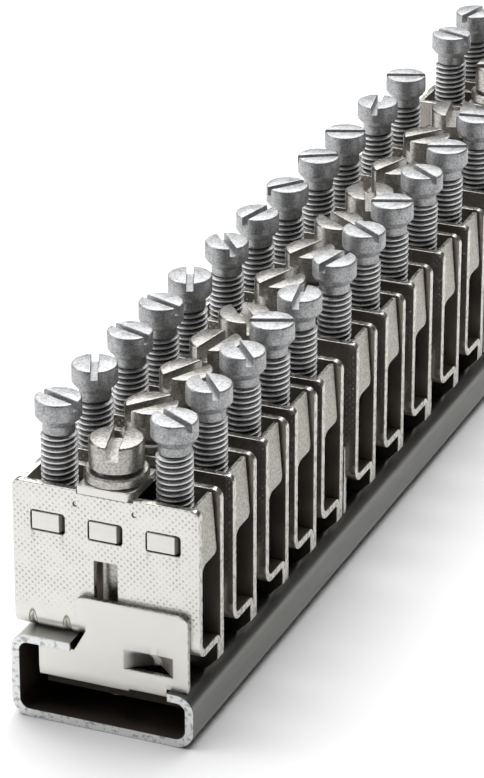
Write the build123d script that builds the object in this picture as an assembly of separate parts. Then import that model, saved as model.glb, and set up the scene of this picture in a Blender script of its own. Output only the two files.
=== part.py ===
from build123d import *
import os
from itertools import accumulate
from math import cos, pi, radians, sqrt, tan

# A row of earth terminals screwed to one length of G-profile rail. Millimetres throughout.
# +X runs across the rail towards its low wall, +Y along the rail, +Z up. The origin is the middle
# of the rail's underside.

# Rail: roll-formed steel strip with a high wall at -X and a low wall at +X, both lips turned inwards
rail_width = 32.0
rail_height = 15.0
rail_wall = 1.5
rail_bend = 3.2
lip_bend = 3.0
high_lip = 10.5
low_wall_height = 9.5
low_lip = 4.6

# The row: the bare rail before the first cage and behind the last, and the steps between them.
# The terminals are slid along by hand before they are screwed down, so each step is its own share
# of the usual one.
near_margin = 2.3
far_margin = 2.9
usual_step = 14.0
step_shares = (0.985, 0.995, 0.9, 0.87, 1.145, 1.0, 1.0, 1.085, 0.955, 1.2, 1.1, 1.83, 1.0)

# What repeats in every terminal is drawn with flats: small round pieces and their holes have this
# many, and a sheet's bend has two
flats = 8

# Clamp cage: a front plate, floor and leg bent from one sheet, and a flat back plate
sheet = 1.3
cage_overhang = 0.2
cage_depth = 9.9
cage_height = 26.5
cage_bend = 1.3
leg_bend = 0.4
leg_width = 4.9
leg_chamfer = 2.4
front_corner = 1.0
back_corner = 1.7
clamp_inset = 6.2
window_width = 6.0
window_height = 3.6
window_rise = 19.85
sight_slot_width = 4.1
sight_slot_top = 14.5
sight_slot_bottom = 5.0

# Threaded bar between the plates, with a tenon in each window
bar_height = 6.2
bar_play = 0.05
tenon_play = 0.15
guard_lean = 4.5

# Wire guards on the bar's two ends
guard_sheet = 0.8
guard_inset = 0.2
guard_back_gap = 0.7
guard_edge_drop = 10.5
guard_spur_drop = 11.8
guard_corner = 0.8
guard_spur_width = 2.2
guard_end_gap = 0.9

# Saddle and washer under the fixing screw
saddle_width = 9.5
saddle_sheet = 1.6
saddle_seat = 0.6
saddle_play = 0.15
washer_diameter = 10.5
washer_sheet = 1.8

# Fixing screw, one in the middle of each terminal
fixing_thread = 5.0
fixing_head = 8.9
fixing_head_height = 5.2
fixing_slot = 2.0
fixing_slot_depth = 2.3
fixing_tip_height = 3.8

# Clamp screws, one on each side, shown screwed up to free the wire chambers
clamp_thread = 6.0
clamp_head = 7.6
clamp_head_height = 3.4
clamp_cone_height = 1.5
clamp_slot = 1.2
clamp_slot_depth = 1.5
clamp_top = 39.8
clamp_tip_below_bar = 0.8

# Clearances round the screws: in a threaded hole and in a plain one
thread_play = 0.05
hole_play = 0.3

# Foot plate: a hooked sheet that stands in the rail in front of each cage
foot_sheet = 1.0
foot_gap = 0.1
foot_height = 8.1
foot_bottom = 7.7
tooth_bottom = 8.1
tooth_width = 6.7
hook_reach = 6.1
hook_play = 0.1
throat_play = 0.2
throat_width = 2.05
throat_shoulder = 2.0
throat_top = 3.2
throat_neck = 4.5
foot_left = 0.55
foot_bevel = 0.6
foot_corner = 1.4
foot_right_inset = 1.4
tooth_relief = 0.5
pocket_width = 8.9
pocket_height = 3.8
pocket_right = 3.8
pocket_bottom = 11.75
pocket_depth = 2.5
pocket_slope = 40.0
pocket_sheet = 0.7

# Rail clamp: the threaded foot under the lips that the fixing screw pulls up
clamp_foot_width = 7.2
clamp_foot_sheet = 2.7
clamp_foot_play = 0.05
clamp_foot_side_gap = 1.3
clamp_foot_arm = 3.2
clamp_foot_arm_inset = 4.8

# Levels and places that follow from the sizes above
lip_tip_x = -rail_width / 2 + high_lip
low_tip_x = rail_width / 2 - low_lip
cage_width = rail_width + 2 * cage_overhang
seat = rail_height
cage_top = seat + cage_height
window_z = seat + window_rise
back_inner = cage_depth - sheet
bar_depth = back_inner - sheet - 2 * bar_play
screw_y = cage_depth / 2
bar_top = window_z + bar_height / 2
bar_bottom = window_z - bar_height / 2
bar_half_length = cage_width / 2 - guard_end_gap - guard_sheet
lean_run = tan(radians(guard_lean))
saddle_bottom = cage_top - saddle_seat
washer_bottom = saddle_bottom + saddle_sheet
washer_top = washer_bottom + washer_sheet
fixing_hole = fixing_thread + 2 * hole_play
clamp_x = cage_width / 2 - clamp_inset
steps = [usual_step * share for share in step_shares]
rail_length = near_margin + sum(steps) + cage_depth + far_margin
terminal_places = list(accumulate(steps, initial=near_margin - rail_length / 2))


def bent_sheet(points, thickness, radii):
    """Section of a sheet whose middle line runs through the points, rounded at its bends."""
    return trace(FilletPolyline(*points, radius=radii), line_width=thickness)


def across(section, half_width):
    """A YZ section carried across the rail, to both sides of its middle."""
    return extrude(Plane.YZ * section, half_width, both=True)


def block(x, y, z):
    """A box given by its low and high coordinate on each axis."""
    middle = [(low + high) / 2 for low, high in (x, y, z)]
    return Pos(*middle) * Box(x[1] - x[0], y[1] - y[0], z[1] - z[0])


def upright(diameter, bottom, top, x=0.0):
    """A vertical pin between two levels, with its corners on the diameter."""
    return Pos(x, screw_y, bottom) * extrude(RegularPolygon(diameter / 2, flats), top - bottom)


def bore(diameter, bottom, top, x=0.0):
    """A vertical hole between two levels, with its flats on the diameter."""
    outline = RegularPolygon(diameter / 2, flats, major_radius=False, rotation=180 / flats)
    return Pos(x, screw_y, bottom) * extrude(outline, top - bottom)


def plate(outline, y, thickness):
    """A flat upright plate: an outline in X and Z, with its front face at y."""
    return extrude(Pos(0, y, 0) * (Plane.XZ * outline), thickness, dir=(0, 1, 0))


def make_rail():
    half = rail_wall / 2
    left = -rail_width / 2 + half
    right = rail_width / 2 - half
    middle_line = [
        (lip_tip_x, rail_height - half),
        (left, rail_height - half),
        (left, half),
        (right, half),
        (right, low_wall_height - half),
        (low_tip_x, low_wall_height - half),
    ]
    bends = [lip_bend - half, rail_bend - half, rail_bend - half, lip_bend - half]
    section = bent_sheet(middle_line, rail_wall, bends)
    return extrude(Plane.XZ * section, rail_length / 2, both=True)


def window_row(width, height):
    """Three equal rectangles in a row at window height."""
    centres = [Pos(x, window_z) for x in (-clamp_x, 0, clamp_x)]
    return Sketch() + [centre * Rectangle(width, height) for centre in centres]


def windows(y):
    """The three windows of a plate, as cutters through one sheet that starts at y."""
    return plate(window_row(window_width, window_height), y, sheet)


def saddle_notch():
    """What is cut from the top edge of both plates so that the saddle sits in them."""
    half = saddle_width / 2 + saddle_play
    return block((-half, half), (0, cage_depth), (saddle_bottom, cage_top))


def leg_tab(y):
    """The tab that reaches down to the low lip, with its outer corner cut away."""
    outer = cage_width / 2
    outline = Polygon(
        (outer - leg_width, low_wall_height),
        (outer - leg_chamfer, low_wall_height),
        (outer, low_wall_height + leg_chamfer),
        (outer, seat + sheet + leg_bend),
        (outer - leg_width, seat + sheet + leg_bend),
        align=None,
    )
    return plate(outline, y, sheet)


def make_cage():
    half = sheet / 2
    front_line = half
    floor_line = seat + half
    leg_line = back_inner - half
    radius = cage_bend + half
    bend_end = cage_bend + sheet
    middle_of_bend = radius * (1 - sqrt(0.5))
    front_and_floor = [
        (front_line, cage_top),
        (front_line, floor_line + radius),
        (front_line + middle_of_bend, floor_line + middle_of_bend),
        (front_line + radius, floor_line),
        (back_inner, floor_line),
    ]
    body = across(trace(Polyline(*front_and_floor), line_width=sheet), cage_width / 2)
    fold = leg_bend + half
    floor_and_leg = [
        (bend_end, floor_line),
        (leg_line - fold, floor_line),
        (leg_line, floor_line - fold),
        (leg_line, low_wall_height),
    ]
    bent_leg = trace(Polyline(*floor_and_leg), line_width=sheet)
    # over the leg's width the floor turns down instead of running on to the back plate
    outer = cage_width / 2
    leg_x = (outer - leg_width, outer)
    body -= block(leg_x, (bend_end, back_inner), (seat, seat + sheet))
    leg = Pos(outer - leg_width, 0, 0) * extrude(Plane.YZ * bent_leg, leg_width)
    below = block(leg_x, (0, cage_depth), (low_wall_height, seat)) - leg_tab(back_inner - sheet)
    body += leg - below
    corners = body.edges().filter_by(Axis.Y).group_by(Axis.Z)[-1]
    body = chamfer(corners, front_corner)
    half_slot = sight_slot_width / 2
    slot_z = (seat + sight_slot_bottom, seat + sight_slot_top)
    body -= block((-half_slot, half_slot), (0, sheet), slot_z)
    # the screw's hole reaches into the foot of the front bend
    return body - windows(0) - saddle_notch() - bore(fixing_hole, seat, seat + bend_end)


def make_back_plate():
    outer = cage_width / 2
    body = block((-outer, outer), (back_inner, cage_depth), (seat, cage_top))
    corners = body.edges().filter_by(Axis.Y).group_by(Axis.Z)[-1]
    body = chamfer(corners, back_corner) + leg_tab(back_inner)
    return body - windows(back_inner) - saddle_notch()


def make_threaded_bar():
    end_low = bar_half_length + lean_run * bar_height
    outline = Polygon(
        (-end_low, bar_bottom),
        (end_low, bar_bottom),
        (bar_half_length, bar_top),
        (-bar_half_length, bar_top),
        align=None,
    )
    body = plate(outline, sheet + bar_play, bar_depth)
    tenons = window_row(window_width - 2 * tenon_play, window_height - 2 * tenon_play)
    body += plate(tenons, 0, cage_depth)
    for x in (-clamp_x, clamp_x):
        body -= bore(clamp_thread + 2 * thread_play, bar_bottom, bar_top, x)
    return body - bore(fixing_hole, bar_bottom, bar_top)


def make_wire_guards():
    """Two tongues that close the gap between the plates above each wire chamber."""
    top = cage_top - guard_inset
    front = sheet + guard_inset
    back = back_inner - guard_back_gap
    edge = top - guard_edge_drop
    spur = top - guard_spur_drop
    outline = Polygon(
        (front, spur),
        (front, top),
        (back, top),
        (back, edge + guard_corner),
        (back - guard_corner, edge),
        (front + guard_spur_width, edge),
        align=None,
    )
    inner_top = bar_half_length - lean_run * (top - bar_top)
    hinge = Pos(inner_top, 0, top) * Rot(0, -guard_lean, 0) * Pos(-inner_top, 0, -top)
    upright_guard = extrude(Plane.YZ * outline, guard_sheet, dir=(1, 0, 0))
    right = hinge * (Pos(inner_top, 0, 0) * upright_guard)
    return [right, mirror(right, Plane.YZ)]


def make_saddle():
    half = saddle_width / 2
    body = block((-half, half), (0, cage_depth), (saddle_bottom, washer_bottom))
    return body - bore(fixing_hole, saddle_bottom, washer_bottom)


def make_washer():
    body = upright(washer_diameter, washer_bottom, washer_top)
    return body - bore(fixing_hole, washer_bottom, washer_top)


def slot_cutter(width, depth, head, top, x=0.0):
    """The straight screwdriver slot across a head."""
    return Pos(x, screw_y, top - depth / 2) * Box(head, width, depth)


def make_fixing_screw():
    head_top = washer_top + fixing_head_height
    body = upright(fixing_thread, fixing_tip_height, washer_top)
    body += upright(fixing_head, washer_top, head_top)
    return body - slot_cutter(fixing_slot, fixing_slot_depth, fixing_head, head_top)


def make_clamp_screw(x):
    top = seat + clamp_top
    cone_bottom = top - clamp_head_height - clamp_cone_height
    head = upright(clamp_head, cone_bottom, top, x)
    under_head = head.faces().sort_by(Axis.Z)[0]
    narrowing = (clamp_head - clamp_thread) / 2 * cos(pi / flats)
    head = chamfer(under_head.edges(), narrowing, clamp_cone_height, reference=under_head)
    body = upright(clamp_thread, bar_bottom - clamp_tip_below_bar, cone_bottom, x) + head
    return body - slot_cutter(clamp_slot, clamp_slot_depth, clamp_head, top, x)


def make_foot_plate():
    """The hooked plate: a finger under the high lip and a shoulder on the low one."""
    top = seat + foot_height
    left = lip_tip_x + foot_left
    right = rail_width / 2 - foot_right_inset
    hook_top = rail_height - rail_wall - hook_play
    throat_in = lip_tip_x + throat_play + throat_width
    tooth_right = low_tip_x - tooth_relief
    outline = Polygon(
        (lip_tip_x - hook_reach, foot_bottom),
        (lip_tip_x - hook_reach, hook_top),
        (lip_tip_x + throat_play, hook_top),
        (throat_in, seat + throat_shoulder),
        (throat_in, seat + throat_top),
        (left, seat + throat_neck),
        (left, top - foot_bevel),
        (left + foot_bevel, top),
        (right, top),
        (right, low_wall_height),
        (tooth_right, low_wall_height),
        (tooth_right, tooth_bottom),
        (tooth_right - tooth_width, tooth_bottom),
        (tooth_right - tooth_width, foot_bottom),
        align=None,
    )
    corner = outline.vertices().sort_by(Axis.X).group_by(Axis.Y)[-1].sort_by(Axis.X)[-1]
    body = plate(chamfer(corner, foot_corner), -foot_gap - foot_sheet, foot_sheet)
    return body - pocket_form(0) + (pocket_form(0) - pocket_form(pocket_sheet))


def pocket_form(wall):
    """The pressed pocket as a solid form, or less a wall's thickness: open below, sloped elsewhere."""
    right = rail_width / 2 - pocket_right - wall
    left = right + 2 * wall - pocket_width
    low = pocket_bottom
    high = pocket_bottom + pocket_height - wall
    front = -foot_gap - foot_sheet
    back = -foot_gap + pocket_depth - wall
    run = (back - front) * tan(radians(pocket_slope))
    from_above = Polygon((left, front), (right, front), (right - run, back), (left + run, back), align=None)
    from_the_side = Polygon((front, low), (back, low), (back, high - run), (front, high), align=None)
    across_the_rail = extrude(Plane.YZ * from_the_side, rail_width / 2, both=True)
    return across_the_rail & extrude(Pos(0, 0, low) * from_above, high - low, dir=(0, 0, 1))


def make_rail_clamp():
    """The foot that the fixing screw draws up against the underside of both lips."""
    under_high = rail_height - rail_wall - clamp_foot_play
    under_low = low_wall_height - rail_wall - clamp_foot_play
    low = under_low - clamp_foot_sheet
    left = -rail_width / 2 + clamp_foot_arm_inset
    right = rail_width / 2 - rail_wall - clamp_foot_side_gap
    outline = Polygon(
        (left, low),
        (right, low),
        (right, under_low),
        (left + clamp_foot_arm, under_low),
        (left + clamp_foot_arm, under_high),
        (left, under_high),
        align=None,
    )
    body = plate(outline, screw_y - clamp_foot_width / 2, clamp_foot_width)
    return body - bore(fixing_thread + 2 * thread_play, low, under_low)


def along_the_row(solids):
    """Copies of the solids at every terminal's place, as one group of separate solids."""
    return Compound(children=[Pos(0, y, 0) * solid for y in terminal_places for solid in solids])


single = {
    "cage": make_cage(),
    "back_plate": make_back_plate(),
    "foot_plate": make_foot_plate(),
}
grouped = {
    "threaded_bars": [make_threaded_bar()],
    "wire_guards": make_wire_guards(),
    "saddles": [make_saddle()],
    "washers": [make_washer()],
    "fixing_screws": [make_fixing_screw()],
    "clamp_screws_left": [make_clamp_screw(-clamp_x)],
    "clamp_screws_right": [make_clamp_screw(clamp_x)],
    "rail_clamps": [make_rail_clamp()],
}

os.makedirs("parts", exist_ok=True)
export_step(make_rail(), "parts/rail.step")
for number, y in enumerate(terminal_places, start=1):
    for name, solid in single.items():
        export_step(Pos(0, y, 0) * solid, f"parts/terminal_{number:02d}_{name}.step")
for name, solids in grouped.items():
    export_step(along_the_row(solids), f"parts/{name}.step")
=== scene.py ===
import math

import bpy
import numpy as np
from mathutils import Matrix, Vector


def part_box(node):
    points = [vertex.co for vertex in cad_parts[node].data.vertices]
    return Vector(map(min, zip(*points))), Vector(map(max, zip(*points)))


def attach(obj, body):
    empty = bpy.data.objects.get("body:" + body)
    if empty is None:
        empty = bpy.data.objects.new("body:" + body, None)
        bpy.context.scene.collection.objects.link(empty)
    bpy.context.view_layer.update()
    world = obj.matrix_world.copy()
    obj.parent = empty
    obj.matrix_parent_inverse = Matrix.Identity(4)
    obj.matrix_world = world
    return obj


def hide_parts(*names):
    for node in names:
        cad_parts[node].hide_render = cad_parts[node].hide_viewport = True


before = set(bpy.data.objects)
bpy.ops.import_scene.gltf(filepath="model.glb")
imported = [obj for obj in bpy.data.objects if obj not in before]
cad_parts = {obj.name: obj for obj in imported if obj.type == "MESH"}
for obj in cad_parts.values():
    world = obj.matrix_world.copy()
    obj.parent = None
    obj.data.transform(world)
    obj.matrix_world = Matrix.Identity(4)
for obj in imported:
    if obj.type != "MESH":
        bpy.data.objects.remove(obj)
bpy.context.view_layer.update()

mm = 0.001
quarter = math.pi / 2

# The rail
# One strip of steel, roll-formed to a G with a high wall on the left and a low wall on the right.
# It is plated a dull grey, and its sawn ends are bright; the top of its high lip is painted lighter, a
# painted reflection.
strip = 1.5 * mm
high_lip = 10.5 * mm
low_lip = 4.6 * mm
rail_height = 15 * mm
low_wall_height = 9.5 * mm
base_bend = 2.45 * mm
lip_bend = 2.25 * mm
thick_edge = 0.15 * mm


def fold(points, start, radius, turn):
    """Bends flat points about a line, as a press brake does.

    The points are pairs: how far along the sheet, and how far off its middle. Those past start go
    round an arc of this radius until they have turned by turn, and straight on from there."""
    along, off = points[..., 0], points[..., 1]
    arc = radius * abs(turn)
    past = along - start
    angle = np.clip(past / arc, 0, 1) * turn
    beyond = np.maximum(past - arc, 0)
    forward = start + np.minimum(past, 0) + radius * np.sin(abs(angle)) + beyond * np.cos(angle)
    aside = math.copysign(radius, turn) * (1 - np.cos(angle)) + beyond * np.sin(angle)
    return np.stack([forward - off * np.sin(angle), aside + off * np.cos(angle)], axis=-1)


def grid_cells(keep):
    """Corner numbers of the kept cells of a grid whose points are numbered row by row.

    A cell's corners are its own number, the next one, and the two that one row more gives them."""
    rows, columns = keep.shape
    first = np.arange(rows)[:, None] * (columns + 1) + np.arange(columns)
    cells = np.stack([first, first + 1, first + columns + 2, first + columns + 1], axis=-1)
    return cells[keep]


def welded(points, cells):
    """The corners of the cells, with those that share a place made one, and the cells renumbered."""
    corners = np.round(points.reshape(-1, 3)[cells].reshape(-1, 3), 7)
    places, numbers = np.unique(corners, axis=0, return_inverse=True)
    return places, numbers.reshape(cells.shape)


def gathered(shells):
    """The points of several shells in one array, and their groups of faces in one list."""
    polygons = []
    start = 0
    for points, groups in shells:
        for faces in groups:
            polygons += (faces + start).tolist()
        start += len(points)
    return np.concatenate([points for points, groups in shells]), polygons


def add_piece(name, shells, finishes, node):
    """A piece made of shells, in its place in the row, which stands for a CAD node."""
    points, polygons = gathered(shells)
    mesh = bpy.data.meshes.new(name)
    mesh.from_pydata(points.tolist(), [], polygons)
    mesh.shade_smooth()
    for finish in finishes:
        mesh.materials.append(finish.material)
    piece = bpy.data.objects.new(name, mesh)
    bpy.context.collection.objects.link(piece)
    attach(piece, "root")
    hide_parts(node)
    return piece


def give_thickness(piece, thickness, edge):
    """Thickens a middle surface to a sheet, breaks its edges and keeps its flats flat.

    The piece's first finish goes on its face, the second on its cut edges and a third on its back."""
    solidify = piece.modifiers.new("thickness", "SOLIDIFY")
    solidify.thickness = thickness
    solidify.offset = 0
    solidify.use_even_offset = True
    solidify.material_offset_rim = 1
    solidify.material_offset = len(piece.data.materials) // 3 * 2
    bevel = piece.modifiers.new("edges", "BEVEL")
    bevel.width = edge
    bevel.segments = 2
    bevel.limit_method = "ANGLE"
    bevel.angle_limit = math.radians(50)
    bevel.use_clamp_overlap = False
    piece.modifiers.new("flats", "WEIGHTED_NORMAL")


class Reading:
    """One output in a tree of nodes. Sums, differences, products and quotients add its Math nodes."""

    def __init__(self, nodes, socket):
        self.nodes = nodes
        self.socket = socket

    def math(self, operation, *values):
        return self.nodes.node("Math", {"operation": operation}, dict(enumerate(values)))

    def __add__(self, other):
        return self.math("ADD", self, other)

    def __radd__(self, other):
        return self.math("ADD", other, self)

    def __sub__(self, other):
        return self.math("SUBTRACT", self, other)

    def __rsub__(self, other):
        return self.math("SUBTRACT", other, self)

    def __mul__(self, other):
        return self.math("MULTIPLY", self, other)

    def __rmul__(self, other):
        return self.math("MULTIPLY", other, self)

    def __truediv__(self, other):
        return self.math("DIVIDE", self, other)

    def __pow__(self, other):
        return self.math("POWER", self, other)

    def __abs__(self):
        return self.math("ABSOLUTE", self)

    def fraction(self):
        return self.math("FRACT", self)


class Nodes:
    """A tree of nodes around one shader, whose sockets the keywords set."""

    def __init__(self, holder, shader, coordinates, **sockets):
        holder.use_nodes = True
        self.tree = holder.node_tree
        self.shader = self.tree.nodes[shader]
        self.place = self.node("TexCoord", output=coordinates)
        self.set(**sockets)

    def feed(self, socket, value):
        if isinstance(value, Reading):
            self.tree.links.new(value.socket, socket)
        else:
            socket.default_value = value

    def set(self, **sockets):
        for name, value in sockets.items():
            self.feed(self.shader.inputs[name.replace("_", " ")], value)

    def node(self, kind, settings={}, sockets={}, output=0):
        """Adds a node with these settings and values at its sockets, and reads one of its outputs."""
        made = self.tree.nodes.new("ShaderNode" + kind)
        for name, value in settings.items():
            setattr(made, name, value)
        for name, value in sockets.items():
            self.feed(made.inputs[name], value)
        return Reading(self, made.outputs[output])

    def xyz(self):
        return [self.node("SeparateXYZ", sockets={0: self.place}, output=axis) for axis in range(3)]

    def noise(self, scale, stretch=(1, 1, 1), detail=2.0):
        """Noise from 0 to 1 with this many blotches to a metre, drawn out along an axis by stretch."""
        stretched = self.node("Mapping", sockets={"Vector": self.place, "Scale": stretch})
        return self.node("TexNoise", sockets={"Vector": stretched, "Scale": scale, "Detail": detail})

    def ease(self, value, low, high, low_out=0.0, high_out=1.0):
        """A smooth step of a reading between two of its values."""
        bounds = {0: value, "From Min": low, "From Max": high, "To Min": low_out, "To Max": high_out}
        return self.node("MapRange", {"interpolation_type": "SMOOTHSTEP"}, bounds)

    def blend(self, share, low, high):
        """One colour where the share is 0 and the other where it is 1."""
        return self.node("Mix", {"data_type": "RGBA"}, {"Factor": share, 6: low, 7: high}, output=2)

    def relief(self, height, depth):
        """A bump of this depth in metres where the height goes from 0 to 1."""
        return self.node("Bump", sockets={"Height": height, "Distance": depth})


class Finish(Nodes):
    """A procedural material on Object coordinates."""

    def __init__(self, name, **sockets):
        self.material = bpy.data.materials.new(name)
        super().__init__(self.material, "Principled BSDF", "Object", **sockets)


def rail_strip():
    """The strip's middle surface: flat stations along it, folded four times, and drawn along Y."""
    low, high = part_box("rail")
    half = strip / 2
    lip = high_lip - half - lip_bend
    wall = rail_height - strip - lip_bend - base_bend
    base = high.x - low.x - strip - 2 * base_bend
    low_wall = low_wall_height - strip - lip_bend - base_bend
    last_lip = low_lip - half - lip_bend
    bends = []
    end = 0.0
    for straight, radius in ((lip, lip_bend), (wall, base_bend), (base, base_bend), (low_wall, lip_bend)):
        bends.append((end + straight, radius))
        end += straight + radius * quarter
    arcs = [np.linspace(start, start + radius * quarter, 9) for start, radius in bends]
    stations = np.concatenate([[0.0], *arcs, [end + last_lip]])
    section = np.stack([stations, np.zeros_like(stations)], axis=-1)
    for start, radius in reversed(bends):
        section = fold(section, start, radius, quarter)
    points = np.empty((len(stations), 2, 3))
    points[..., 0] = low.x + high_lip - section[:, :1]
    points[..., 1] = low.y, high.y
    points[..., 2] = rail_height - half - section[:, 1:]
    places, cells = welded(points, grid_cells(np.ones((len(stations) - 1, 1), bool)))
    return places, [cells]


rail_skin = Finish("rail_skin", Metallic=0.8)
level = rail_skin.xyz()[2]
streaks = rail_skin.noise(900, (1, 0.05, 1), 3.0)
cloud = rail_skin.noise(60, (1, 0.3, 1))
specks = rail_skin.noise(1500, detail=3.0)
dull = rail_skin.blend(cloud, (0.13, 0.13, 0.12, 1), (0.21, 0.207, 0.195, 1))
# painted reflection: the top face of the high lip is coloured lighter than the rest of the rail
on_top = rail_skin.ease(level, rail_height - strip, rail_height - 0.2 * mm)
rail_skin.set(
    Base_Color=rail_skin.blend(on_top, dull, (0.60, 0.60, 0.57, 1)),
    Roughness=0.22 + 0.2 * streaks,
    Normal=rail_skin.relief(streaks + specks, 0.012 * mm),
)
# painted shade: the rail's inner faces are coloured near black and brown for the shade in the channel,
# mottled by noise
rail_inside = Finish("rail_inside", Metallic=0.6)
shade_mottle = rail_inside.noise(250, detail=4.0)
rail_inside.set(
    Base_Color=rail_inside.blend(shade_mottle, (0.035, 0.032, 0.02, 1), (0.13, 0.095, 0.08, 1)),
    Roughness=0.35 + 0.3 * shade_mottle,
)
rail_cut = Finish("rail_cut", Metallic=0.9)
along = rail_cut.xyz()[1]
saw_marks = rail_cut.noise(1500, (1, 1, 0.1), 2.0)
blotches = rail_cut.noise(1300, detail=4.0)
rail_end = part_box("rail")[1].y
# painted shade: the strip's long cut edges, away from the sawn ends, are coloured near black
at_end = rail_cut.ease(abs(along), rail_end - 0.4 * mm, rail_end - 0.2 * mm)
sawn = rail_cut.blend(rail_cut.ease(blotches, 0.35, 0.5), (0.40, 0.41, 0.41, 1), (0.74, 0.75, 0.75, 1))
rail_cut.set(
    Base_Color=rail_cut.blend(at_end, (0.03, 0.03, 0.03, 1), sawn),
    Roughness=0.35 + 0.2 * saw_marks,
    Normal=rail_cut.relief(saw_marks + blotches, 0.03 * mm),
)
rail = add_piece("g_rail", [rail_strip()], [rail_skin, rail_cut, rail_inside], "rail")
give_thickness(rail, strip, thick_edge)

# The rail clamps
# Threaded steel feet under the rail's lips, one below each terminal, drawn up by its fixing screw.
# painted shade: the clamps are coloured near black for the shade they lie in under the foot plates
clamp_steel = Finish("clamp_steel", Metallic=1.0)
grain = clamp_steel.noise(1200, detail=3.0)
clamp_steel.set(
    Base_Color=clamp_steel.blend(grain, (0.02, 0.017, 0.013, 1), (0.05, 0.042, 0.034, 1)),
    Roughness=0.45 + 0.2 * grain,
)
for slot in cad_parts["rail_clamps"].material_slots:
    slot.material = clamp_steel.material

# The clamp cages
# Each cage is one sheet, plated bright and pressed with a fine diamond pattern of dots. It is
# punched flat, dented over the front bend to stiffen it, and folded twice: front, floor and leg.
terminals = range(1, 15)
sheet = 1.3 * mm
cage_top = 41.5 * mm
half_width = 16.2 * mm
back_inner = 8.6 * mm
seat = rail_height + sheet / 2
floor_bend = 1.95 * mm
leg_bend = 1.05 * mm
leg_width = 4.9 * mm
leg_cut = 2.4 * mm
front_corner = 1.2 * mm
front_corner_column = 1.6 * mm
window_x = 10.0 * mm
window_half = (3.0 * mm, 1.8 * mm)
window_corner = 0.6 * mm
corner_steps = np.array([0, 0.5, 1])
window_level = 34.85 * mm
sight_half_width = 2.05 * mm
sight_top = 29.5 * mm
sight_bottom = 20.0 * mm
above_foot = 24.0 * mm
notch_half_width = 4.9 * mm
notch_bottom = 40.9 * mm
screw_hole = 2.8 * mm
screw_y = 4.95 * mm
dent_half = (0.75 * mm, 2.6 * mm)
dent_depth = 0.25 * mm
sheet_edge = 0.12 * mm
front_end = cage_top - seat - floor_bend
floor_start = front_end + floor_bend * quarter
floor_end = floor_start + back_inner - sheet / 2 - floor_bend
leg_start = floor_end - sheet / 2 - leg_bend
leg_end = leg_start + leg_bend * quarter + seat - leg_bend - low_wall_height
leg_inner = half_width - leg_width
hole_along = floor_start + screw_y - sheet / 2 - floor_bend
octagon = math.tan(math.pi / 8)
hole_octagon = screw_hole * octagon
dent_ends = [window_x - window_half[0], window_x + window_half[0]]
bend_middle = (front_end + floor_start) / 2
dot_step = (1.12 * mm, 1.19 * mm)
mark_x = 5.1 * mm
mark_level = 39.0 * mm
mark_radius = 0.5 * mm
rim_level = 16.7 * mm
rim_half_height = 2.1 * mm


def mirrored(values):
    """Half a row of places, from the middle out, on both sides."""
    return np.unique(np.concatenate([-np.array(values), values]))


def within(values, middle, half):
    """True where a cell's middle is less than half from a place."""
    middles = (values[1:] + values[:-1]) / 2
    return abs(middles - middle) < half


def rounded_side(edge, below_top, corner):
    """How far out a plate's side is at each depth below its top: a quarter circle, then straight."""
    left = np.maximum(corner - below_top, 0)
    return edge - corner + np.sqrt(corner**2 - left**2)


def opened_round(x, y, centre, radius):
    """Draws the square of grid points round a hole onto its circle."""
    reach = np.maximum(abs(x), abs(y - centre))
    distance = np.hypot(x, y - centre)
    on_square = abs(reach - radius) < 1e-6
    scale = np.where(on_square, radius / np.maximum(distance, 1e-9), 1.0)
    return x * scale, centre + (y - centre) * scale


def smooth(share):
    """A smooth step: from 0 to 1, level at both ends."""
    share = np.clip(share, 0, 1)
    return share * share * (3 - 2 * share)


def round_windows(x, level):
    """Moves the points on the edges of a plate's three windows onto rounded corners.

    Beside a corner, a point's distance from it along the edge becomes its angle on the arc: half a
    quarter turn at the corner itself, and none or a whole one where the arc meets the straight."""
    from_middle = abs(x) - np.round(abs(x) / window_x) * window_x
    above = level - window_level
    short_x = window_half[0] - abs(from_middle)
    short_z = window_half[1] - abs(above)
    on_top = (abs(short_z) < 1e-6) & (short_x > -1e-6) & (short_x < window_corner)
    on_side = (abs(short_x) < 1e-6) & (short_z > -1e-6) & (short_z < window_corner)
    angle = quarter / 2 * (1 + np.where(on_top, short_x, -short_z) / window_corner)
    draw_x = (window_corner * (1 - np.cos(angle)) - short_x) * (on_top | on_side)
    draw_z = (window_corner * (1 - np.sin(angle)) - short_z) * (on_top | on_side)
    return x - np.sign(x) * np.sign(from_middle) * draw_x, level - np.sign(above) * draw_z


def punched(columns, level):
    """True for the cells of a plate's grid that its windows and its notch leave."""
    keep = np.ones((len(level) - 1, len(columns) - 1), bool)
    for place in (-window_x, 0, window_x):
        beside_window = within(columns, place, window_half[0])
        keep &= ~np.outer(within(level, window_level, window_half[1]), beside_window)
    at_notch = within(level, cage_top, cage_top - notch_bottom)
    keep &= ~np.outer(at_notch, within(columns, 0, notch_half_width))
    return keep


def cage_columns():
    """Where the points of the cage's flat blank lie across it."""
    ledges = [0, hole_octagon, sight_half_width, screw_hole, notch_half_width, leg_inner]
    dents = [place + np.linspace(-1, 1, 13) * dent_half[0] for place in dent_ends]
    ends = window_half[0] - window_corner * corner_steps
    sides = [half_width - front_corner_column, half_width]
    return mirrored(np.concatenate([ledges, *dents, ends, window_x - ends, window_x + ends, sides]))


def cage_rows():
    """How far from the blank's top edge they lie: down the front, round the bend, along the floor."""
    corner_rows = front_corner * (1 - np.cos(np.linspace(0, 1, 6) * quarter))
    window_rows = mirrored(window_half[1] - window_corner * corner_steps) + cage_top - window_level
    slot_rows = cage_top - np.array([sight_top, above_foot, sight_bottom])
    dent_rows = np.linspace(bend_middle - dent_half[1], front_end, 9)
    bend_rows = np.linspace(front_end, floor_start, 12)
    hole_rows = hole_along + mirrored([0, hole_octagon, screw_hole])
    rows = [corner_rows, window_rows, slot_rows, dent_rows, bend_rows, hole_rows, [leg_start, floor_end]]
    return np.unique(np.round(np.concatenate(rows), 8))


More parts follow.
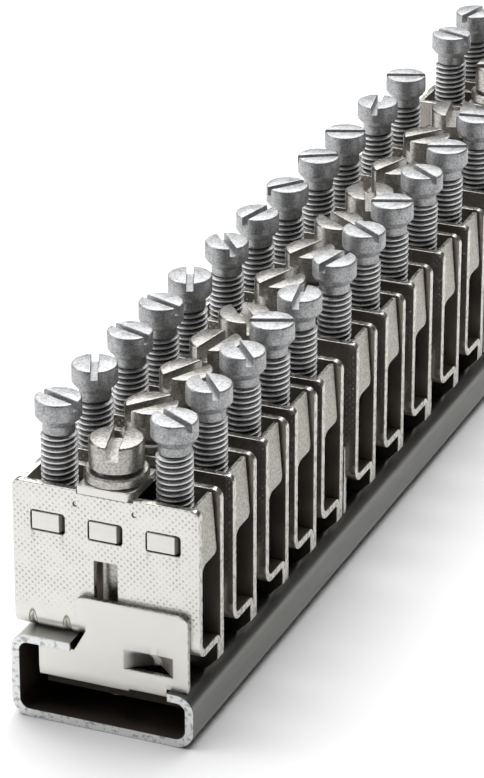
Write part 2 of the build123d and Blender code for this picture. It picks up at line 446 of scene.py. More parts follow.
def dented(x, along):
    """How far the dents over the front bend press each point of the blank back."""
    half_down = np.where(along < bend_middle, dent_half[1], floor_start - bend_middle)
    down = (along - bend_middle) / half_down
    depth = np.zeros_like(x)
    for place in dent_ends:
        across = (abs(x) - place) / dent_half[0]
        depth += dent_depth * smooth(1 - across**2 - down**2)
    return depth


def folded_front(x, flat):
    """The places in the terminal of points on the blank, once it is folded at the front bend."""
    section = fold(flat, front_end, floor_bend, quarter)
    return np.stack([x, sheet / 2 + section[..., 1], cage_top - section[..., 0]], axis=-1)


def cage_body(columns, rows):
    """The middle surface of the front and the floor, without the floor's stretch at the leg."""
    x, along = np.meshgrid(columns, rows)
    edge = rounded_side(half_width, along, front_corner)
    x = np.clip(x, -edge, edge)
    x, along = opened_round(x, along, hole_along, screw_hole)
    x, level = round_windows(x, cage_top - along)
    along = cage_top - level
    keep = punched(columns, cage_top - rows)
    slot_middle = (sight_top + sight_bottom) / 2
    at_slot = within(cage_top - rows, slot_middle, sight_top - slot_middle)
    keep &= ~np.outer(at_slot, within(columns, 0, sight_half_width))
    keep &= ~np.outer(within(rows, hole_along, screw_hole), within(columns, 0, screw_hole))
    on_floor = (rows[:-1] + rows[1:]) / 2 > floor_start
    keep &= ~np.outer(on_floor, (columns[:-1] + columns[1:]) / 2 > leg_inner)
    points = folded_front(x, np.stack([along, dented(x, along)], axis=-1))
    return welded(points, grid_cells(keep))


def cage_leg(columns, rows):
    """The middle surface of the leg, which runs on from the front bend and is folded down again."""
    columns = columns[columns > leg_inner - 1e-6]
    floor_rows = rows[(rows > floor_start - 1e-6) & (rows < leg_start - 1e-6)]
    bend_rows = np.linspace(leg_start, leg_start + leg_bend * quarter, 7)
    cut_rows = leg_end - np.linspace(leg_cut, 0, 4)
    rows = np.concatenate([floor_rows, bend_rows, cut_rows])
    x, along = np.meshgrid(columns, rows)
    share = 1 - np.maximum(along - leg_end + leg_cut, 0) / leg_width
    x = leg_inner + (x - leg_inner) * share
    flat = fold(np.stack([along, np.zeros_like(along)], axis=-1), leg_start, leg_bend, -quarter)
    whole = np.ones((len(rows) - 1, len(columns) - 1), bool)
    return welded(folded_front(x, flat), grid_cells(whole))


def cage_shell():
    """The cage's middle surface for a terminal at y = 0: the body and the leg, joined."""
    columns = cage_columns()
    rows = cage_rows()
    body, body_cells = cage_body(columns, rows)
    leg, leg_cells = cage_leg(columns, rows)
    points = np.concatenate([body, leg])
    points, cells = welded(points, np.concatenate([body_cells, leg_cells + len(body)]))
    return points, cells[:, ::-1]


def dots(finish, x, y, z):
    """1 on the pressed dots of a diamond pattern, which fades out down towards the front bend."""
    rise = (z - y) / dot_step[1]
    one = (rise + x / dot_step[0]).fraction() - 0.5
    other = (rise - x / dot_step[0]).fraction() - 0.5
    distance = (one * one + other * other) ** 0.5
    return finish.ease(distance, 0.06, 0.32, 1.0, 0.0) * finish.ease(z, 18.5 * mm, 21.5 * mm)


def crescents(finish, x, z):
    """1 on the two small crescents under the notch's ends: painted shade in two round punched dimples,
    also used for their bump.

    A crescent is what is inside one circle and outside another that lies a little to the right."""
    beside = ((x / (2 * mark_x)).fraction() - 0.5) * (2 * mark_x)
    above = z - mark_level
    right = beside - 0.17 * mm
    higher = above - 0.1 * mm
    outer = (beside * beside + above * above) ** 0.5
    inner = (right * right + higher * higher) ** 0.5
    inside = finish.ease(outer, 0.85 * mark_radius, mark_radius, 1.0, 0.0)
    outside = finish.ease(inner, 0.55 * mark_radius, 0.8 * mark_radius)
    return inside * outside * finish.ease(abs(x), 8 * mm, 9 * mm, 1.0, 0.0)


def dent_rim_shade(finish, x, y, z):
    """1 on the painted shade round the rims of the first cage's dents."""
    aside = (abs(abs(x) - window_x) - window_half[0]) / dent_half[0]
    over = (z - rim_level) / rim_half_height
    reach = (aside * aside + over * over) ** 0.5
    rim = finish.ease(reach, 0.62, 0.86) * finish.ease(reach, 0.86, 1.1, 1.0, 0.0)
    return rim * finish.ease(y, 15 * mm - rail_end, 17 * mm - rail_end, 1.0, 0.0)


def dotted_finish():
    """Bright plating with dots, crescents and dents. Painted shade: between two terminals it is painted
    darker than on the row's two ends, below the floor it is painted dark, and the crescents and the rims
    of the first cage's dents are painted dark."""
    finish = Finish("plated_face", Metallic=0.92)
    x, y, z = finish.xyz()
    worn = finish.noise(350, detail=3.0)
    cloud = finish.noise(90)
    dot = dots(finish, x, y, z) * finish.ease(worn, 0.3, 0.6, 0.25, 1.0)
    crescent = crescents(finish, x, z)
    behind_first = finish.ease(y, 4 * mm - rail_end, 6 * mm - rail_end)
    before_last = finish.ease(y, rail_end - 8 * mm, rail_end - 6 * mm, 1.0, 0.0)
    underneath = finish.ease(z, 14.9 * mm, 15.6 * mm, 1.0, 0.0)
    colour = finish.blend(cloud, (0.65, 0.64, 0.605, 1), (0.71, 0.702, 0.67, 1))
    # painted shade between the terminals: all faces behind the first and before the last are coloured
    # darker
    colour = finish.blend(behind_first * before_last, colour, (0.30, 0.275, 0.25, 1))
    colour = finish.blend(dot * 0.6, colour, (0.30, 0.30, 0.28, 1))
    # painted shade in the punched dimples, drawn as near-black crescents
    colour = finish.blend(crescent, colour, (0.05, 0.05, 0.045, 1))
    # painted shade round the rims of the first cage's dents
    colour = finish.blend(dent_rim_shade(finish, x, y, z) * 0.85, colour, (0.13, 0.12, 0.045, 1))
    # painted shade below the floor: the legs and the floor's underside are coloured near black
    finish.set(
        Base_Color=finish.blend(underneath, colour, (0.07, 0.062, 0.05, 1)),
        Roughness=0.3 + 0.1 * worn,
        Normal=finish.relief(1 - dot - crescent, 0.05 * mm),
    )
    return finish


plated_face = dotted_finish()
# painted shade: the back faces of the cages and plates are coloured darker and browner than their fronts,
# for the shade inside and between the cages
plated_back = Finish("plated_back", Metallic=1.0)
back_mottle = plated_back.noise(150, detail=3.0)
plated_back.set(
    Base_Color=plated_back.blend(back_mottle, (0.30, 0.265, 0.235, 1), (0.44, 0.405, 0.37, 1)),
    Roughness=0.24 + 0.16 * back_mottle,
)
plated_cut = Finish("plated_cut", Metallic=0.95)
shear_marks = plated_cut.noise(2200, (1, 1, 0.5), 3.0)
sheared = plated_cut.ease(shear_marks, 0.3, 0.6)
plated_cut.set(
    Base_Color=plated_cut.blend(sheared, (0.26, 0.25, 0.22, 1), (0.62, 0.605, 0.56, 1)),
    Roughness=0.2 + 0.2 * shear_marks,
)
plating = [plated_face, plated_cut, plated_back]
cage_points, cage_cells = cage_shell()
places = [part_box(f"terminal_{number:02d}_cage")[0].y for number in terminals]
for number, place in zip(terminals, places):
    node = f"terminal_{number:02d}_cage"
    shell = (cage_points + (0, place, 0), [cage_cells])
    cage = add_piece(f"cage_{number:02d}", [shell], plating, node)
    give_thickness(cage, sheet, sheet_edge)

# The back plates
# Flat plates of the same dotted sheet, with a leg of their own beside the cage's, and rounded
# corners on top. The bar's tenons are driven into their windows and hold the terminal together.
back_middle = back_inner + sheet / 2
back_corner = 1.7 * mm
back_corner_column = 2.2 * mm


def back_plate_shell():
    """The back plate's middle surface for a terminal at y = 0, on a grid of x and z."""
    ends = window_half[0] - window_corner * corner_steps
    ledges = [notch_half_width, leg_inner, half_width - back_corner_column, half_width]
    columns = mirrored(np.concatenate([ends, window_x - ends, window_x + ends, ledges]))
    corner_rows = back_corner * (1 - np.cos(np.linspace(0, 1, 7) * quarter))
    window_rows = mirrored(window_half[1] - window_corner * corner_steps) + cage_top - window_level
    cut_levels = low_wall_height + leg_cut * np.array([1, 0.5, 0])
    low_rows = cage_top - np.array([above_foot, rail_height, *cut_levels])
    rows = np.concatenate([corner_rows, window_rows, low_rows])
    x, below_top = np.meshgrid(columns, rows)
    edge = rounded_side(half_width, below_top, back_corner)
    x = np.clip(x, -edge, edge)
    share = 1 - np.maximum(low_wall_height + leg_cut - cage_top + below_top, 0) / leg_width
    x = np.where(x > leg_inner, leg_inner + (x - leg_inner) * share, x)
    x, level = round_windows(x, cage_top - below_top)
    keep = punched(columns, cage_top - rows)
    below_seat = cage_top - (rows[1:] + rows[:-1]) / 2 < rail_height
    keep &= ~np.outer(below_seat, (columns[1:] + columns[:-1]) / 2 < leg_inner)
    points = np.stack([x, np.full_like(x, back_middle), level], axis=-1)
    return welded(points, grid_cells(keep))


back_points, back_cells = back_plate_shell()
for number, place in zip(terminals, places):
    node = f"terminal_{number:02d}_back_plate"
    shell = (back_points + (0, place, 0), [back_cells])
    plate = add_piece(f"back_plate_{number:02d}", [shell], plating, node)
    give_thickness(plate, sheet, sheet_edge)

# The foot plates
# A smooth satin plate stands in the rail in front of each cage. Its finger lies under the high
# lip and its shoulder on the low one, and a pocket is pressed back in it, cut free along its foot.
foot_sheet = 1.0 * mm
foot_y = -0.6 * mm
foot_top = 23.1 * mm
foot_right = 14.6 * mm
foot_corner = 1.4 * mm
finger_tip = -11.6 * mm
finger_top = 13.4 * mm
throat = np.array([(7.7, -5.3), (13.4, -5.3), (17.0, -3.25), (18.2, -3.25), (19.5, -4.95), (21.9, -4.95),
                   (22.75, -4.6), (23.1, -3.75)]) * mm
throat_edge = throat[0, 1]
tooth = (4.2 * mm, 10.9 * mm)
tooth_bottom = 8.1 * mm
pocket_x = (3.3 * mm, 12.2 * mm)
pocket_z = (11.75 * mm, 15.55 * mm)
pocket_fold = np.array([3.3, 8.0, 9.1, 12.2]) * mm
pocket_depth = 2.5 * mm
pocket_lift = 0.4 * mm
foot_columns = np.array([-2.6, 0, 2.0, 13.0]) * mm
foot_rows = np.array([7.7, 8.1, 8.6, 9.0, 9.5, 10.6, 13.4, 17.0, 18.2, 19.5, 21.7, 22.0, 22.4, 22.75,
                      23.1]) * mm
foot_roll = 0.3 * mm
roll_start = 9.6 * mm
roll_height = 1.9 * mm


def well_apart(values):
    """The values in order, without those that all but meet the next one."""
    values = np.unique(values)
    return values[np.diff(values, append=1) > 0.02 * mm]


def foot_shell():
    """The foot plate's middle surface for a terminal at y = 0.

    On a grid of x and z the left column follows the throat. The pocket is two slopes with a narrow
    level fold between them, and goes back by a sine down from its top. Along its foot two rows lie
    on one line, of which only the upper is pressed back, and up a little."""
    edges = [finger_tip, throat_edge, *tooth, foot_right]
    columns = well_apart(np.concatenate([edges, foot_columns, np.linspace(*pocket_x, 25), pocket_fold]))
    rows = well_apart(np.concatenate([foot_rows, np.linspace(*pocket_z, 14)]))
    cut = np.searchsorted(rows, pocket_z[0] - 0.01 * mm)
    rows = np.insert(rows, cut, rows[cut])
    pressed = np.arange(len(rows)) > cut
    x, z = np.meshgrid(columns, rows)
    left = np.interp(z, throat[:, 0], throat[:, 1])
    x = np.where(abs(x - throat_edge) < 0.01 * mm, left, x)
    x = np.minimum(x, rounded_side(foot_right, foot_top - z, foot_corner))
    down = np.clip((pocket_z[1] - z) / (pocket_z[1] - pocket_z[0]), 0, 1)
    slope = np.interp(x, pocket_fold, [0, 1, 1, 0]) * np.sin(down * quarter) * pressed[:, None]
    y = foot_y + pocket_depth * slope
    z = z + pocket_lift * slope
    y += foot_roll * np.clip((roll_start - z) / roll_height, 0, 1) ** 2
    keep = np.ones((len(rows) - 1, len(columns) - 1), bool)
    middle_x = (columns[1:] + columns[:-1]) / 2
    middle_z = (rows[1:] + rows[:-1]) / 2
    keep &= ~np.outer(middle_z > finger_top, middle_x < throat_edge)
    keep &= ~np.outer(middle_z < tooth_bottom, middle_x > tooth[0])
    keep &= ~np.outer(middle_z < low_wall_height, middle_x > tooth[1])
    keep[cut] = False
    return welded(np.stack([x, y, z], axis=-1), grid_cells(keep))


def satin_finish():
    """Satin plating, painted dark on the two slopes of the pocket as a painted shade in the recess, where
    it is also made less metallic.
    """
    finish = Finish("satin_face")
    brushing = finish.noise(900, (0.06, 1, 1), 3.0)
    mist = finish.noise(120, detail=3.0)
    x, y, z = finish.xyz()
    across = x + 0.6 * mm * (mist - 0.5)
    left = finish.ease(across, pocket_x[0] - 0.3 * mm, pocket_x[0] + 1.9 * mm)
    left = left * finish.ease(across, pocket_fold[1] - 0.3 * mm, pocket_fold[1] + 0.1 * mm, 1.0, 0.0)
    left = left * finish.ease(z - 0.3 * across, pocket_z[1] - 2.6 * mm, pocket_z[1] - 1.4 * mm, 1.0, 0.0)
    right = finish.ease(across, pocket_fold[2], pocket_fold[2] + 0.3 * mm)
    right = right * finish.ease(across, pocket_x[1] - 0.4 * mm, pocket_x[1], 1.0, 0.0)
    inside = finish.ease(z, pocket_z[1] - 0.5 * mm, pocket_z[1] - 0.1 * mm, 1.0, 0.0)
    inside = inside * finish.ease(z, pocket_z[0] - 0.1 * mm, pocket_z[0] + 0.1 * mm)
    inside = inside * finish.ease(x, pocket_x[0], pocket_x[0] + 0.2 * mm)
    inside = inside * finish.ease(x, pocket_x[1] - 0.2 * mm, pocket_x[1], 1.0, 0.0)
    plain = finish.blend(mist, (0.62, 0.61, 0.575, 1), (0.70, 0.69, 0.66, 1))
    # painted shade: the pocket's right slope is coloured dark and its left slope near black
    rubbing_and_shade = finish.blend(right * inside, plain, (0.15, 0.135, 0.12, 1))
    finish.set(
        Base_Color=finish.blend(left * inside, rubbing_and_shade, (0.05, 0.044, 0.04, 1)),
        Metallic=0.9 - 0.9 * inside,
        Roughness=0.26 + 0.14 * brushing,
        Normal=finish.relief(brushing, 0.008 * mm),
    )
    return finish


satin_face = satin_finish()
foot_points, foot_cells = foot_shell()
for number, place in zip(terminals, places):
    node = f"terminal_{number:02d}_foot_plate"
    shell = (foot_points + (0, place, 0), [foot_cells])
    foot = add_piece(f"foot_plate_{number:02d}", [shell], [satin_face, plated_cut], node)
    give_thickness(foot, foot_sheet, sheet_edge)

# The threaded bars
# A bar between the plates of each terminal takes the two clamp screws, and the fixing screw runs
# free through its middle. Three tenons a side fill the plates' windows.
bar_low = 31.75 * mm
bar_high = 37.95 * mm
bar_half_length = 14.6 * mm
bar_front = 1.35 * mm
bar_back = 8.55 * mm
tenon_half = (2.78 * mm, 1.6 * mm)
tenon_slope = (0.9 * mm, 0.9 * mm)
clamp_hole = 3.05 * mm
bar_holes = ((-window_x, clamp_hole), (0, screw_hole), (window_x, clamp_hole))


def bar_shell():
    """The bar's level middle surface for a terminal at y = 0, with its three round holes."""
    clamp_columns = window_x + clamp_hole * np.array([-1, -octagon, 0, octagon, 1])
    fixing_columns = [0, hole_octagon, screw_hole]
    columns = mirrored(np.concatenate([fixing_columns, clamp_columns, [bar_half_length]]))
    hole_rows = mirrored([0, clamp_hole * octagon, screw_hole, clamp_hole])
    rows = np.concatenate([[bar_front], screw_y + hole_rows, [bar_back]])
    x, y = np.meshgrid(columns, rows)
    middle = np.round(x / window_x) * window_x
    for place, radius in bar_holes:
        there = middle == place
        round_x, round_y = opened_round(x - place, y, screw_y, radius)
        x = np.where(there, round_x + place, x)
        y = np.where(there, round_y, y)
    keep = np.ones((len(rows) - 1, len(columns) - 1), bool)
    for place, radius in bar_holes:
        keep &= ~np.outer(within(rows, screw_y, radius), within(columns, place, radius))
    height = np.full_like(x, (bar_low + bar_high) / 2)
    return welded(np.stack([x, y, height], axis=-1), grid_cells(keep))


def tenon_shell():
    """The three tenons' level middle surfaces, each right through both plates but for the bar.

    The front one's right corner is drawn in to the middle of the slope beaten on it with a hammer."""
    columns = np.array([-tenon_half[0], tenon_half[0] - tenon_slope[0], tenon_half[0]])
    rows = np.array([0, tenon_slope[1], bar_front, bar_back, back_inner + sheet])
    keep = np.array([[True], [True], [False], [True]]) & np.array([True, True])
    x, y = np.meshgrid(columns, rows)
    x[0, 2] -= tenon_slope[0] / 2
    y[0, 2] += tenon_slope[1] / 2
    points, cells = welded(np.stack([x, y, np.full_like(x, window_level)], axis=-1), grid_cells(keep))
    return [(points + (place, 0, 0), [cells]) for place in (-window_x, 0, window_x)]


bar_face = Finish("bar_face", Metallic=0.9)
draw_marks = bar_face.noise(1100, (0.08, 1, 1), 3.0)
sideways = bar_face.xyz()[0]
# painted shade: from the start of each tenon's slope to halfway to the next, the bar is coloured near
# black for the shade in the gap beside it
slope_start = tenon_half[0] - tenon_slope[0] + window_x / 2
slope_shade = ((sideways + window_x / 2) / window_x).fraction() * window_x
slope_shade = bar_face.ease(slope_shade, slope_start, slope_start + 0.15 * mm)
drawn = bar_face.blend(draw_marks, (0.60, 0.59, 0.56, 1), (0.76, 0.75, 0.72, 1))
bar_face.set(
    Base_Color=bar_face.blend(slope_shade, drawn, (0.10, 0.10, 0.09, 1)),
    Roughness=0.3 + 0.15 * draw_marks,
    Normal=bar_face.relief(draw_marks, 0.02 * mm),
)
bar_points, bar_cells = bar_shell()
bars = [(bar_points + (0, place, 0), [bar_cells]) for place in places]
bar = add_piece("bar_bodies", bars, [bar_face, bar_face], "threaded_bars")
give_thickness(bar, bar_high - bar_low, thick_edge)
tenons = [(points + (0, place, 0), cells) for points, cells in tenon_shell() for place in places]
tenon = add_piece("bar_tenons", tenons, [bar_face, bar_face], "threaded_bars")
give_thickness(tenon, 2 * tenon_half[1], thick_edge)

# The wire guards
# Two tongues of thinner matt sheet lean on the bar's ends and close the gap between the plates
# above each wire chamber. Their foot is curved, with a spur towards the front.
guard_sheet = 0.8 * mm
guard_top = 41.3 * mm
guard_inner = 14.24 * mm
guard_lean = math.radians(4.5)
guard_front = 1.5 * mm
guard_back = 7.9 * mm
guard_drop = 10.5 * mm
guard_spur = 1.3 * mm
guard_spur_width = 2.2 * mm
guard_corner = 1.1 * mm
guard_edge = 0.1 * mm


def guard_shell(side):
    """A guard's middle surface: y across, and down from its top by a share of its curved length."""
    spur = guard_front + np.linspace(0, 1, 6) * guard_spur_width
    corner = guard_back - guard_corner * (1 - np.sin(np.linspace(0, 1, 6) * quarter))
    across = np.concatenate([spur, corner])
    length = guard_drop + guard_spur * np.clip(1 - (across - guard_front) / guard_spur_width, 0, 1) ** 2
    past = np.maximum(across - guard_back + guard_corner, 0)
    length -= guard_corner - np.sqrt(guard_corner**2 - np.minimum(past, guard_corner) ** 2)
    y, share = np.meshgrid(across, np.linspace(0, 1, 7))
    down = share * length
    x = guard_inner + guard_sheet / 2 * math.cos(guard_lean) + down * math.sin(guard_lean)
    z = guard_top + guard_sheet / 2 * math.sin(guard_lean) - down * math.cos(guard_lean)
    keep = np.ones((share.shape[0] - 1, len(across) - 1), bool)
    return welded(np.stack([side * x, y, z], axis=-1), grid_cells(keep))


guard_face = Finish("guard_face", Metallic=0.8)
tumbled = guard_face.noise(2600, detail=3.0)
pits = guard_face.ease(tumbled, 0.3, 0.7)
guard_face.set(
    Base_Color=guard_face.blend(pits, (0.31, 0.30, 0.262, 1), (0.56, 0.545, 0.49, 1)),
    Roughness=0.42 + 0.15 * tumbled,
    Normal=guard_face.relief(tumbled, 0.02 * mm),
)
guards = []
for side in (-1, 1):
    guard_points, guard_cells = guard_shell(side)
    guards += [(guard_points + (0, place, 0), [guard_cells]) for place in places]
guard = add_piece("guard_tongues", guards, [guard_face, plated_cut], "wire_guards")
give_thickness(guard, guard_sheet, guard_edge)

# The saddles and the washers
# A small plate lies in the notches of both plates and carries the fixing screw's washer. One of
# its corners is cut off, and the washer is a plain ring with its outer edges broken.
saddle_half = 4.75 * mm
saddle_sheet = 1.6 * mm
saddle_cut = (0.9 * mm, 1.2 * mm)
saddle_level = 41.7 * mm
washer_radius = 5.25 * mm
washer_low = 42.5 * mm
washer_high = 44.3 * mm
fixing_head_top = 49.5 * mm
around = 40
sharp = math.radians(35)


def saddle_shell():
    """The saddle's level middle surface for a terminal at y = 0: a round hole and a cut corner.

    The corner point is drawn in to the middle of the cut."""
    hole = [0, hole_octagon, screw_hole]
    columns = mirrored([*hole, saddle_half - saddle_cut[0], saddle_half])
    rows = screw_y + mirrored([*hole, screw_y - saddle_cut[1], screw_y])
    x, y = np.meshgrid(columns, rows)
    x, y = opened_round(x, y, screw_y, screw_hole)
    x[0, -1] -= saddle_cut[0] / 2
    y[0, -1] += saddle_cut[1] / 2
    keep = ~np.outer(within(rows, screw_y, screw_hole), within(columns, 0, screw_hole))
    return welded(np.stack([x, y, np.full_like(x, saddle_level)], axis=-1), grid_cells(keep))


def ringed(rings, closed=False):
    """A shell through rings of points, from the lowest up, each ring's last point beside its first.

    It is closed by a flat face at each end, or by running from the last ring back to the first."""
    count, length = rings.shape[:2]
    here = np.arange(length)
    following = np.roll(here, -1)
    below = np.arange(count if closed else count - 1)[:, None] * length
    above = (below + length) % (count * length)
    sides = np.stack([below + here, below + following, above + following, above + here], axis=-1)
    ends = np.stack([here[::-1], here + (count - 1) * length])
    return rings.reshape(-1, 3), [sides.reshape(-1, 4)] + ([] if closed else [ends])


def turned(profile, closed=False):
    """A shell turned on a lathe from pairs of radius and height, about the vertical axis."""
    radius, height = np.array(profile).T
    angle = np.arange(around) * 2 * math.pi / around
    rings = np.empty((len(radius), around, 3))
    rings[..., 0] = np.outer(radius, np.cos(angle))
    rings[..., 1] = np.outer(radius, np.sin(angle))
    rings[..., 2] = height[:, None]
    return ringed(rings, closed)


def planted(shell, spots, turns):
    """Copies of an upright shell, each turned about its own axis and stood at its spot."""
    points, groups = shell
    cos = np.cos(turns)[:, None]
    sin = np.sin(turns)[:, None]
    x = spots[:, :1] + points[:, 0] * cos - points[:, 1] * sin
    y = spots[:, 1:] + points[:, 0] * sin + points[:, 1] * cos
    z = np.broadcast_to(points[:, 2], x.shape)
    starts = np.arange(len(spots))[:, None, None] * len(points)
    copies = [(faces + starts).reshape(-1, faces.shape[1]) for faces in groups]
    return np.stack([x, y, z], axis=-1).reshape(-1, 3), copies


def screw_spots(x):
    """Where the screws at this x stand, one to a terminal."""
    return np.stack([np.full(len(places), x), np.array(places) + screw_y], axis=-1)


saddle_points, saddle_cells = saddle_shell()
saddles = [(saddle_points + (0, place, 0), [saddle_cells]) for place in places]
saddle = add_piece("saddle_plates", saddles, [satin_face, satin_face], "saddles")
give_thickness(saddle, saddle_sheet, thick_edge)

bright_steel = Finish("bright_steel", Metallic=1.0)
rubbing_and_shade = bright_steel.noise(2200, (1, 1, 1.5), 3.0)
grit = bright_steel.ease(rubbing_and_shade, 0.3, 0.7)
height = bright_steel.xyz()[2]
on_top = bright_steel.ease(height, fixing_head_top - 0.4 * mm, fixing_head_top - 0.1 * mm)
scratched = bright_steel.blend(grit, (0.27, 0.26, 0.24, 1), (0.52, 0.50, 0.47, 1))
# the tops of the fixing screws' heads are coloured darker than their sides, with the same roughness
darker_top = bright_steel.blend(grit, (0.20, 0.195, 0.18, 1), (0.40, 0.385, 0.36, 1))
bright_steel.set(
    Base_Color=bright_steel.blend(on_top, scratched, darker_top),
    Roughness=0.26 + 0.16 * rubbing_and_shade,
    Normal=bright_steel.relief(rubbing_and_shade, 0.02 * mm),
)
washer_edge = 0.3 * mm
washer_ring = turned([
    (screw_hole, washer_low),
    (washer_radius - washer_edge, washer_low),
    (washer_radius, washer_low + washer_edge),
    (washer_radius, washer_high - washer_edge),
    (washer_radius - washer_edge, washer_high),
    (screw_hole, washer_high),
], closed=True)
washers = planted(washer_ring, screw_spots(0), np.zeros(len(places)))
washer = add_piece("washer_rings", [washers], [bright_steel], "washers")
washer.data.set_sharp_from_angle(angle=sharp)

# The fixing screws
# Slotted cheese-head screws of M5 in bright steel. Each stands on a short collar and runs down
# through the terminal into its clamp in the rail. Their slots came to rest at various angles.
fixing_radius = 2.5 * mm
fixing_pitch = 0.8 * mm
fixing_tip = 3.8 * mm
fixing_shoulder = 15.0 * mm
fixing_head = (4.45 * mm, 44.8 * mm, fixing_head_top)
fixing_collar = 3.7 * mm
fixing_slot = 2.0 * mm
fixing_slot_depth = 2.3 * mm
head_edge = 0.35 * mm
root_depth = 0.6
core_depth = 0.55
fixing_turns = np.radians([105, 52, 65, 80, -50, 70, 70, -35, 113, 70, 52, 101, 30, 75])


def thread(radius, pitch, low, high):
    """A right-hand thread, root_depth pitches deep: a strip wound round the screw, edge to edge.

    Across the strip the points are root, root, crest, crest and root again, at set shares of the
    pitch. The crest rises out of the root over the first turn and sinks back over the last."""
    turns = round((high - low) / pitch)
    step = np.arange(turns * around + 1)
    share = np.array([0, 0.15, 0.5, 0.7, 1])[:, None]
    crest = np.array([0, 0, 1, 1, 0])[:, None]
    rising = smooth(np.minimum(step, step[-1] - step) / around)
    reach = radius - root_depth * pitch * (1 - crest * rising)
    angle = step / around * 2 * math.pi
    height = low + (step / around + share) * pitch
    points = np.stack([reach * np.cos(angle), reach * np.sin(angle), height], axis=-1)
    places, cells = welded(points, grid_cells(np.ones((len(share) - 1, len(step) - 1), bool)))
    return places, [cells]


def slotted_head(radius, low, high, slot, slot_depth, foot):
    """A round head in three shells: the disc below its slot, and the land on each side of it.

    A land is half a disc, cut off beside the slot: an arc from one end of that cut to the other.
    Its upper rings are drawn in to break the edge."""
    slot_floor = high - slot_depth
    lower_edge = [(radius - head_edge / 2, low), (radius, low + head_edge / 2)]
    disc = turned([*foot, *lower_edge, (radius, slot_floor)])
    turn = np.linspace(0, 1, 4) * quarter
    inset = np.append(0, head_edge * (1 - np.cos(turn)))
    height = np.append(slot_floor, high - head_edge + head_edge * np.sin(turn))
    reach = (radius - inset)[:, None]
    side = (slot / 2 + inset / 2)[:, None]
    start = np.arcsin(side / reach)
    angle = start + (math.pi - 2 * start) * np.linspace(0, 1, around)
    land = np.stack([reach * np.cos(angle), reach * np.sin(angle), height[:, None] + 0 * angle], axis=-1)
    land_shell = ringed(land)
    other = (land_shell[0] * (-1, -1, 1), land_shell[1])
    return [disc, land_shell, other]


fixing_thread = thread(fixing_radius, fixing_pitch, fixing_tip, fixing_shoulder)
fixing_core = fixing_radius - core_depth * fixing_pitch
fixing_rod = turned([
    (fixing_core - 0.5 * mm, fixing_tip),
    (fixing_core, fixing_tip + 0.5 * mm),
    (fixing_core, fixing_shoulder),
    (fixing_radius, fixing_shoulder + 0.4 * mm),
    (fixing_radius, washer_high),
])
fixing_foot = [(fixing_collar, washer_high), (fixing_collar, fixing_head[1])]
fixing_top = slotted_head(*fixing_head, fixing_slot, fixing_slot_depth, fixing_foot)
fixing_parts = [fixing_thread, fixing_rod, *fixing_top]
screws = [planted(shell, screw_spots(0), fixing_turns) for shell in fixing_parts]
screw = add_piece("fixing_screw_row", screws, [bright_steel], "fixing_screws")
screw.data.set_sharp_from_angle(angle=sharp)

# The clamp screws
# Two slotted M6 screws to a terminal, zinc plated and screwed up out of the wire chambers. Under
# its head each has a short cone and a neck, and the thread starts below.
clamp_radius = 3.0 * mm
clamp_pitch = 1.0 * mm
clamp_tip = 30.95 * mm
clamp_head = (3.8 * mm, 51.6 * mm, 54.8 * mm)
clamp_neck = 2.65 * mm
clamp_shoulder = 48.8 * mm
clamp_slot = 1.2 * mm
clamp_slot_depth = 1.5 * mm
left_turns = np.radians([-19, 113, -19, -19, 113, -50, 76, 52, 30, 22, 101, 22, -19, 76])
right_turns = np.radians([-30, -50, -50, 22, 101, 76, -35, 22, -35, 22, 10, 60, -10, 95])


def note_crests(screws, x, core, radius):
    """Keeps how far each point is out from its screw's core, as a share of the thread's depth."""
    points = np.empty(len(screws.data.vertices) * 3)
    screws.data.vertices.foreach_get("co", points)
    aside, along = points.reshape(-1, 3).T[:2]
    spots = np.array(places) + screw_y
    nearest = spots[abs(along[:, None] - spots).argmin(axis=1)]
    share = (np.hypot(aside - x, along - nearest) - core) / (radius - core)
    note = screws.data.attributes.new("crest", "FLOAT", "POINT")
    note.data.foreach_set("value", np.clip(share, 0, 1))


zinc = Finish("zinc_plate", Metallic=0.9)
crystals = zinc.noise(3000, detail=3.0)
patches = zinc.noise(500)
crest = zinc.node("Attribute", {"attribute_name": "crest"}, output=2)
height = zinc.xyz()[2]
on_thread = zinc.ease(height, clamp_shoulder + 0.2 * mm, clamp_shoulder + 0.6 * mm, 1.0, 0.0)
mottled = zinc.ease(0.3 * patches + 0.7 * crystals, 0.3, 0.7)
matt = zinc.blend(mottled, (0.23, 0.232, 0.235, 1), (0.52, 0.525, 0.535, 1))
# partly wear, partly painted highlight: the thread's crests are coloured bright
worn = zinc.blend(on_thread * zinc.ease(crest, 0.85, 1.0), matt, (0.66, 0.66, 0.65, 1))
# painted shade: the thread's roots are coloured near black
zinc.set(
    Base_Color=zinc.blend(zinc.ease(crest, 0.0, 0.4), (0.07, 0.07, 0.066, 1), worn),
    Roughness=0.36 + 0.2 * crystals,
    Normal=zinc.relief(crystals, 0.03 * mm),
)
clamp_core = clamp_radius - core_depth * clamp_pitch
clamp_thread = thread(clamp_radius, clamp_pitch, clamp_tip, clamp_shoulder)
clamp_rod = turned([
    (clamp_core - 0.5 * mm, clamp_tip),
    (clamp_core, clamp_tip + 0.5 * mm),
    (clamp_core, clamp_shoulder),
    (clamp_neck, clamp_shoulder + 0.2 * mm),
])
clamp_foot = [
    (clamp_neck, clamp_shoulder + 0.2 * mm),
    (clamp_neck, clamp_shoulder + 1.6 * mm),
    (clamp_neck + 0.2 * mm, clamp_shoulder + 1.85 * mm),
    (clamp_neck + 0.8 * mm, clamp_shoulder + 2.45 * mm),
]
clamp_top = slotted_head(*clamp_head, clamp_slot, clamp_slot_depth, clamp_foot)
clamp_parts = [clamp_thread, clamp_rod, *clamp_top]
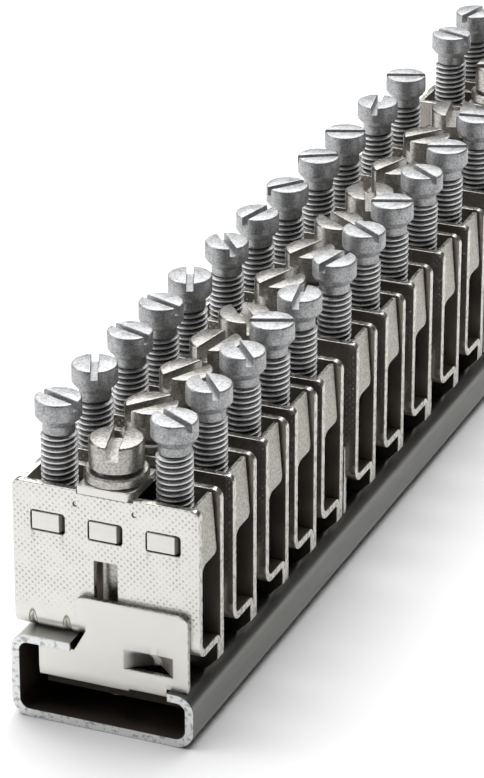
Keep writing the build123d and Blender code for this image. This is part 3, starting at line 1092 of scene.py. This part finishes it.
for name, x, turns in (("left", -window_x, left_turns), ("right", window_x, right_turns)):
    screws = [planted(shell, screw_spots(x), turns) for shell in clamp_parts]
    node = f"clamp_screws_{name}"
    screw = add_piece(f"clamp_screw_row_{name}", screws, [zinc], node)
    screw.data.set_sharp_from_angle(angle=sharp)
    note_crests(screw, x, clamp_core, clamp_radius)

# The floor, the light and the camera
# A pale floor, a sky that is brighter on the left, and two soft panels. The camera looks along the
# row from above its near end, a little from the right.
floor_half = 1.5
floor_signs = ((-1, -1), (1, -1), (1, 1), (-1, 1))
floor_mesh = bpy.data.meshes.new("floor")
floor_mesh.from_pydata([(x * floor_half, y * floor_half, 0) for x, y in floor_signs], [], [(0, 1, 2, 3)])
paper = Finish("pale_paper", Base_Color=(0.93, 0.93, 0.93, 1), Roughness=0.9)
floor_mesh.materials.append(paper.material)
floor = bpy.data.objects.new("floor", floor_mesh)
bpy.context.collection.objects.link(floor)

sky_left = 2.1
sky_right = 1.1
world = bpy.data.worlds.new("studio")
sky = Nodes(world, "Background", "Generated")
sky.set(Strength=sky.ease(sky.xyz()[0], -1.0, 1.0, sky_left, sky_right))
bpy.context.scene.world = world


def soft_light(name, place, target, size, power):
    """A square light panel at a place, facing its target."""
    lamp = bpy.data.lights.new(name, "AREA")
    lamp.size = size
    lamp.energy = power
    panel = bpy.data.objects.new(name, lamp)
    panel.location = place
    direction = np.subtract(target, place)
    yaw = math.atan2(direction[1], direction[0]) - quarter
    pitch = math.atan2(direction[2], math.hypot(direction[0], direction[1])) + quarter
    panel.rotation_euler = (pitch, 0, yaw)
    bpy.context.collection.objects.link(panel)


middle = (0, 0, 25 * mm)
soft_light("overhead", place=(-0.2, 0.3, 0.9), target=middle, size=1.4, power=24.0)
soft_light("low_left", place=(-0.7, -0.35, 0.3), target=middle, size=0.4, power=1.5)

azimuth = math.radians(22.6)
elevation = math.radians(25.0)
distance = 681 * mm
aim = np.array([-8.9, -26.0, 24.9]) * mm
camera = bpy.data.cameras.new("camera")
camera.lens = 178.5
camera.sensor_width = 36.0
camera.clip_start = 0.01
viewer = bpy.data.objects.new("camera", camera)
backwards = np.array([
    math.sin(azimuth) * math.cos(elevation),
    -math.cos(azimuth) * math.cos(elevation),
    math.sin(elevation),
])
viewer.location = aim + distance * backwards
viewer.rotation_euler = (quarter - elevation, 0, azimuth)
bpy.context.collection.objects.link(viewer)
bpy.context.scene.camera = viewer
bpy.context.scene.view_settings.view_transform = "Standard"
